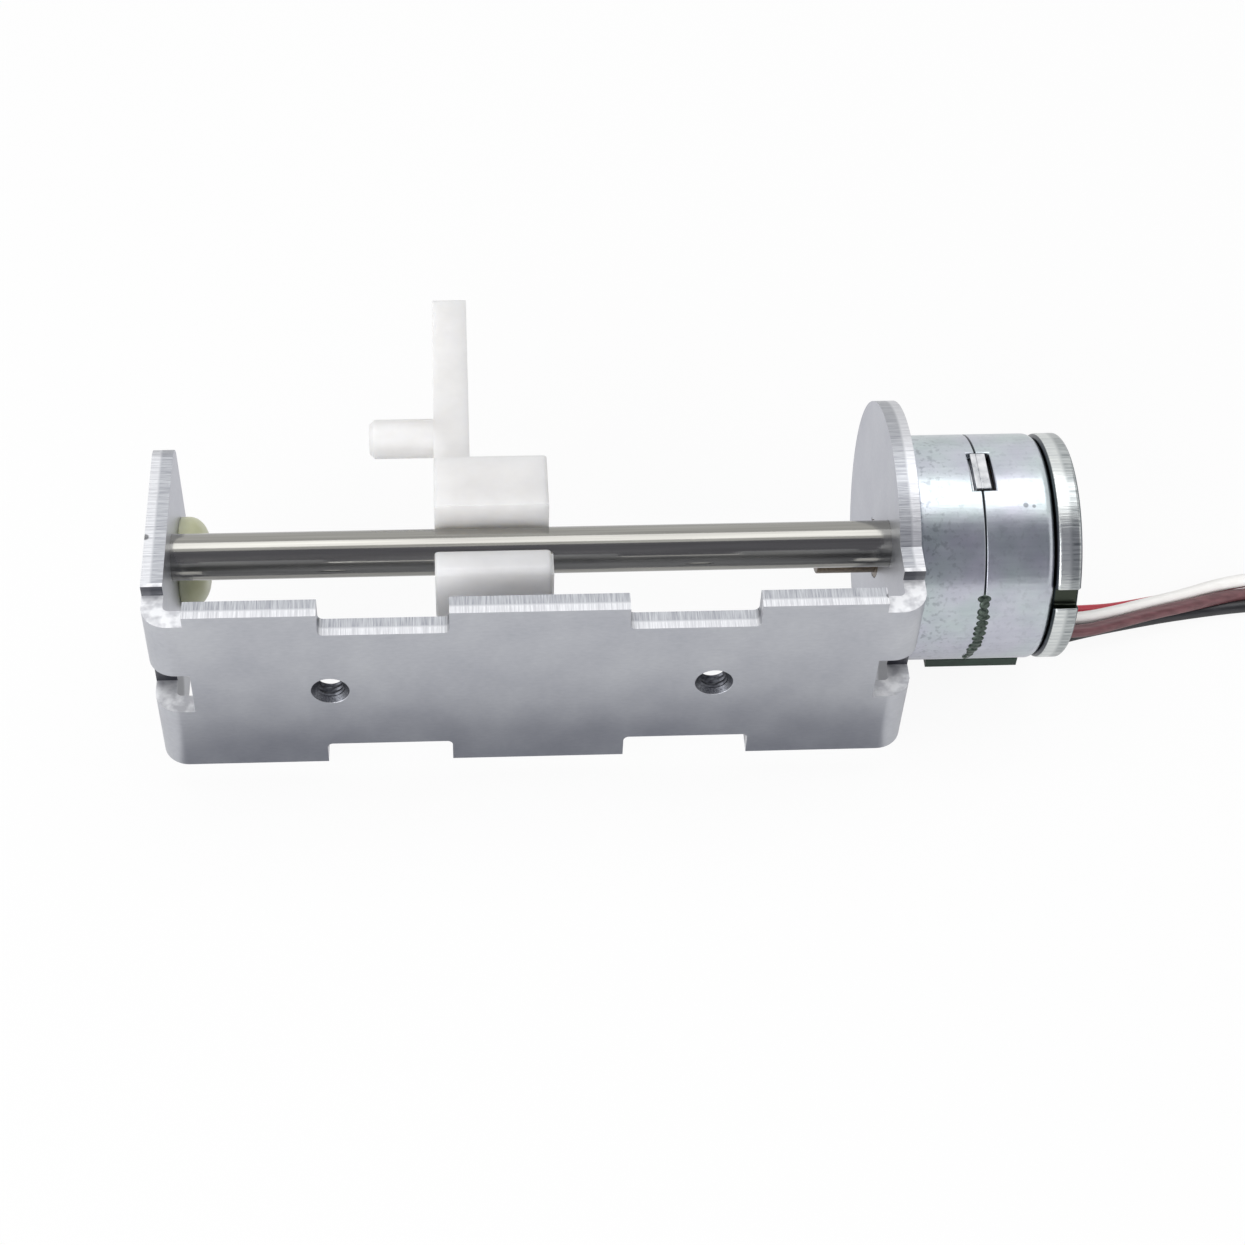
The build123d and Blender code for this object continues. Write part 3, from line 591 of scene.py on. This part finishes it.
def lead_routes():
    """Offsets from the leads' start, the screw's axis and the ground, in millimetres."""
    under, flat, plug = 1.44, LEAD_R, 2.3
    start = np.array([42.575, SCREW_Y, GROUND_Z])
    offsets = {
        "black": [
            (0, -1.91, under), (2.5, -1.9, under - 0.1), (5.5, -1.4, 0.72), (10.3, 0.1, flat),
            (15.2, 1.15, flat), (19.5, 1.98, flat), (27, 3.0, flat), (38, 3.3, flat),
            (48.5, 1.0, 0.7), (56.5, -2.1, plug - 0.15), (61.6, -2.33, plug),
        ],
        "brown": [
            (0, -0.64, under), (3, -0.64, under + 0.03), (6, -0.8, 1.88), (10, -0.9, 1.88),
            (13, -0.05, 1.86), (17, 1.2, 1.84), (20, 1.9, 1.82), (24, 3.3, 1.45),
            (28, 4.4, 0.65), (38, 4.6, flat), (48.5, 2.55, 0.7), (56.5, -0.12, plug - 0.15),
            (61.6, -0.33, plug),
        ],
        "white": [
            (0, 0.64, under), (3, 0.66, under + 0.03), (6.5, 0.6, 1.76), (10.2, 0.72, 1.86),
            (13, 1.28, 1.87), (17, 2.42, 1.86), (20, 3.2, 1.84), (24, 4.6, 1.8),
            (28, 5.4, 1.72), (38, 5.45, 1.55), (48.5, 4.15, 0.8), (56.5, 1.86, plug - 0.15),
            (61.6, 1.67, plug),
        ],
        "red": [
            (0, 1.91, under), (3, 1.95, under - 0.1), (6.5, 2.15, 1.0), (10.5, 2.5, 0.72),
            (13.5, 2.72, flat), (17.5, 3.5, flat), (20, 4.05, flat), (24, 5.35, flat),
            (28, 6.15, flat), (38, 6.5, flat), (48.5, 5.75, 0.7), (56.5, 3.84, plug - 0.15),
            (61.6, 3.67, plug),
        ],
    }
    return {colour: (start + np.array(points)) * MM for colour, points in offsets.items()}


def lay_leads(sleeves):
    """Four round cords on their routes, from under the motor to the plug."""
    for colour, route in lead_routes().items():
        curve = bpy.data.curves.new("lead_" + colour, "CURVE")
        curve.dimensions = "3D"
        spline = curve.splines.new("NURBS")
        spline.points.add(len(route) - 1)
        spline.points.foreach_set("co", np.column_stack([route, np.ones(len(route))]).ravel())
        spline.order_u = 3
        spline.use_endpoint_u = True
        curve.resolution_u = 12
        curve.bevel_depth = LEAD_R * MM
        curve.bevel_resolution = 6
        curve.use_fill_caps = True
        curve.materials.append(sleeves[colour])
        lead = show("lead_" + colour, curve, "frame", f"wire_{colour}_pvc", "wire_" + colour)


# Studio: pale ground and sky, one large overhead lamp and a soft fill, and three cards that
# only mirrors see: a grey one beside the camera, a grey one on the ground before the base as
# painted shade of the floor there, and a pale one on the ground behind it as painted light there

def pale_ground():
    """White paper under the object, near white to the camera and greyer to mirrors."""
    mesh = bpy.data.meshes.new("ground")
    corners = np.array([(-1, -1, 0), (1, -1, 0), (1, 1, 0), (-1, 1, 0)]) * 1.6
    corners[:, 2] = (GROUND_Z - 0.02) * MM
    mesh.from_pydata(corners.tolist(), [], [(0, 1, 2, 3)])
    ground = bpy.data.objects.new("ground", mesh)
    bpy.context.scene.collection.objects.link(ground)
    material = bpy.data.materials.new("pale_paper")
    node = empty_nodes(material)
    mirrored = node(
        "Math", node("LightPath", out="Is Glossy Ray"),
        node("LightPath", out="Is Transmission Ray"), operation="MAXIMUM",
    )
    share = node(
        "Math", node("Math", node("LightPath", out="Is Camera Ray"), 0.92, operation="MULTIPLY"),
        node("Math", mirrored, 0.42, operation="MULTIPLY"), operation="MAXIMUM",
    )
    paper = node("BsdfDiffuse", linear("#EDEDED"))
    white = node("Emission", linear("#FFFFFF"), 1.0)
    node("OutputMaterial", node("MixShader", share, paper, white))
    mesh.materials.append(material)


def studio_sky():
    """White all round to the camera and to mirrors, and half as strong as a light."""
    world = bpy.data.worlds.new("studio")
    bpy.context.scene.world = world
    node = empty_nodes(world)
    seen = node("LightPath", out="Is Camera Ray")
    for ray in ("Is Glossy Ray", "Is Transmission Ray"):
        seen = node("Math", seen, node("LightPath", out=ray), operation="MAXIMUM")
    node("OutputWorld", node("Background", linear("#FFFFFF"), node("Mix", seen, 0.5, 1.0)))


def studio_lamp(name, place, size, power):
    """A soft rectangular lamp in metres and watts, aimed at the middle of the slide."""
    lamp = bpy.data.lights.new(name, "AREA")
    lamp.shape = "RECTANGLE"
    lamp.size, lamp.size_y = size
    lamp.energy = power
    holder = bpy.data.objects.new(name, lamp)
    bpy.context.scene.collection.objects.link(holder)
    aim = Vector((0.01, 0.012, 0.0)) - Vector(place)
    turn = aim.to_track_quat("-Z", "Y").to_matrix().to_4x4()
    holder.matrix_world = Matrix.Translation(place) @ turn


def mirror_card(name, place, size, colour):
    """A matt card that only mirrors see: flat on the ground, or square to the line from it to
    the object."""
    mesh = bpy.data.meshes.new(name)
    on_ground = place[2] < 0
    faces = Vector((0, 0, 1)) if on_ground else Vector((0, 0.012, 0)) - Vector(place)
    turn = faces.to_track_quat("-Z", "Y").to_matrix()
    w, h = size[0] / 2, size[1] / 2
    corners = [
        tuple(Vector(place) + turn @ Vector((x, y, 0))) for x, y in ((-w, -h), (w, -h), (w, h), (-w, h))
    ]
    mesh.from_pydata(corners, [], [(0, 1, 2, 3)])
    card = bpy.data.objects.new(name, mesh)
    bpy.context.scene.collection.objects.link(card)
    card.visible_camera = False
    card.visible_diffuse = False
    card.visible_shadow = False
    material = bpy.data.materials.new(name + "_paper")
    node = empty_nodes(material)
    node("OutputMaterial", node("Emission", linear(colour), 1.0))
    mesh.materials.append(material)


bpy.context.scene.view_settings.view_transform = "Standard"
place_camera()

# Drawn and plated bright: light and cool; the punched plate on its end is darker
can_steel = drawn_can_steel("drawn_can_steel", "#B4BAC2", "#CCD1D8")
cap_steel = drawn_can_steel("punched_cap_steel", "#9AA0A8", "#BFC4CB", CAN_END_X, CAP_END_X)
# Stamped and left bright: near white, with a coarse grain
tab_steel = bare_metal("bright_tab_steel", "#B6B9BD", "#DFE0E2", 0.3, 1.0, 1.2)
# Melted in place: nearly black with oxide, and a greenish gleam on each puddle
weld_metal = bare_metal("weld_metal", "#232C28", "#5E6961", 0.38, 0.85, 3.0)
# Rolled threads: mid grey and satin. Tapped ones: dark, deep in their holes
rolled_steel = bare_metal("rolled_thread_steel", "#9A9A9C", "#C8C8CA", 0.3, 1.0, 3.0)
tapped_steel = bare_metal("cut_thread_steel", "#3C3D42", "#6C6E74", 0.4, 1.0, 3.0)
# Sintered and filled with oil: a dull brown
bronze = bare_metal("sintered_bronze", "#4A4138", "#7A6D5D", 0.38, 1.0, 5.0)
# Copper wire under lacquer: orange and shiny
copper = bare_metal("enamelled_copper", "#8E4A1C", "#C87A3A", 0.3, 1.0, 4.0)
# Magnet ceramic, pressed and ground: charcoal and matt, hardly a metal to the eye
ferrite = bare_metal("ground_ferrite", "#2C2D30", "#45464A", 0.5, 0.2, 5.0)
# Tin: warm and satin where it was plated, pale and brightest where it was molten
tinned = bare_metal("tinned_brass", "#BDB8A8", "#DAD7CC", 0.3)
solder = bare_metal("bright_solder", "#A9ABAE", "#DCDDDF", 0.25, 1.0, 3.0)
# Acetal: milky white and satin, because light travels 6 mm inside
acetal = moulded("moulded_acetal", "#D8D7D7", "#E0DFDF", 0.42, 1.48, 0.95, 6.0)
# Nylon: a pale yellow-green where it holds oil, ivory where it is dry
nylon = moulded("oiled_nylon", "#C4C6A0", "#D7D9BA", 0.36, 1.53, 0.7, 1.8)
housing_nylon = moulded("housing_nylon", "#E6E3D8", "#F1EFE6", 0.42, 1.53, 0.2, 0.6)
hub_nylon = moulded("hub_nylon", "#D4D1C6", "#E2E0D8", 0.45, 1.53)
# Glass-filled PBT: near black with a soft gleam
bobbin_pbt = moulded("bobbin_pbt", "#1E1F22", "#303136", 0.45, 1.56)
# Punched from plastic film: pale amber and smooth
washer_film = moulded("washer_film", "#CDBB8C", "#DDCFA6", 0.3, 1.6)
# Glass cloth in epoxy under lacquer: a very dark green, with the weave as faint marks of 0.8 mm
laminate = moulded("epoxy_board", "#0C1F15", "#1C3326", 0.45, 1.5, marks_per_mm=1.2)

soft_copy("bracket", 0.12, "zinc_plated_steel", zinc_plated_sheet())
soft_copy("front_can", 0.14, "motor_can_steel", can_steel)
soft_copy("rear_can", 0.14, "motor_can_steel", can_steel)
soft_copy("end_cap", 0.1, "cap_steel", cap_steel)
soft_copy("front_yoke", 0.05, "motor_can_steel", tab_steel)
soft_copy("rear_yoke", 0.05, "motor_can_steel", tab_steel)
soft_copy("carriage", 0.22, "carriage_pom", acetal, 3)
soft_copy("front_bearing", 0.08, "bearing_bronze", bronze)
soft_copy("terminal_board", 0.05, "board_laminate", laminate)
soft_copy("solder_joints", 0.12, "solder_tin", solder)

connector = [
    soft_copy("connector_housing", 0.08, "housing_nylon", housing_nylon),
    soft_copy("connector_contacts", 0.04, "tinned_brass", tinned),
]
lay_leads({
    "black": wire_sleeve("black_pvc", "#17171A", "#2A2A2E"),
    "brown": wire_sleeve("brown_pvc", "#5C3A3E", "#744D51"),
    "white": wire_sleeve("white_pvc", "#F6F4F1", "#FCFBF9"),
    "red": wire_sleeve("red_pvc", "#B81F35", "#D02E46"),
})

for name, mesh, slot, finish, node in (
    ("guide_rod_ground", guide_rod_mesh(), "polished_rod_steel", ground_rod_steel(), "guide_rod"),
    ("lead_screw_threaded", lead_screw_mesh(), "screw_steel", rolled_steel, "lead_screw"),
    ("end_bush_domed", end_bush_mesh(), "bush_nylon", nylon, "end_bush"),
):
    smooth_by_angle(mesh)
    show(name, mesh, node_objects[node]["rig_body"], slot, node).data.materials.append(finish)

for name, middle, seed in (("weld_base_side", 182, 4), ("weld_free_side", 0, 9)):
    mesh = weld_mesh(name, middle, seed)
    smooth_by_angle(mesh, 50)
    show(name, mesh, "frame", "weld_metal", "seam_welds").data.materials.append(weld_metal)
for name, x in (("left_tap_thread", TAPPED_LEFT), ("right_tap_thread", TAPPED_RIGHT)):
    mesh = tap_thread_mesh(name, x)
    smooth_by_angle(mesh, 50)
    show(name, mesh, "frame", "zinc_plated_steel").data.materials.append(tapped_steel)

# The pieces inside the motor keep their solids and get a finish
for node, finish in (
    ("front_bobbin", bobbin_pbt), ("rear_bobbin", bobbin_pbt), ("front_coil", copper),
    ("rear_coil", copper), ("rear_bearing", bronze), ("terminal_pins", tinned),
    ("rotor_hub", hub_nylon), ("rotor_magnet", ferrite), ("thrust_washers", washer_film),
):
    node_objects[node].data.materials.clear()
    node_objects[node].data.materials.append(finish)

pale_ground()
studio_sky()
studio_lamp("overhead_strip", (0.02, 0.14, 0.48), (0.6, 0.28), 0.88)
studio_lamp("front_fill", (-0.28, -0.42, 0.24), (0.6, 0.4), 2.9)
mirror_card("camera_side_card", (0.0, -0.33, 0.325), (1.1, 0.6), "#84848D")
# Painted shade: a grey card where the floor lies in the object's shadow, seen only in reflections
mirror_card("painted_floor_shade_card", (0.001, -0.005, GROUND_Z * MM), (0.066, 0.008), "#8C8E95")
# Painted light: a pale card on the shaded floor behind the flange, seen only in reflections
mirror_card("painted_floor_light_card", (0.002, 0.042, GROUND_Z * MM), (0.058, 0.05), "#F3F3F6")
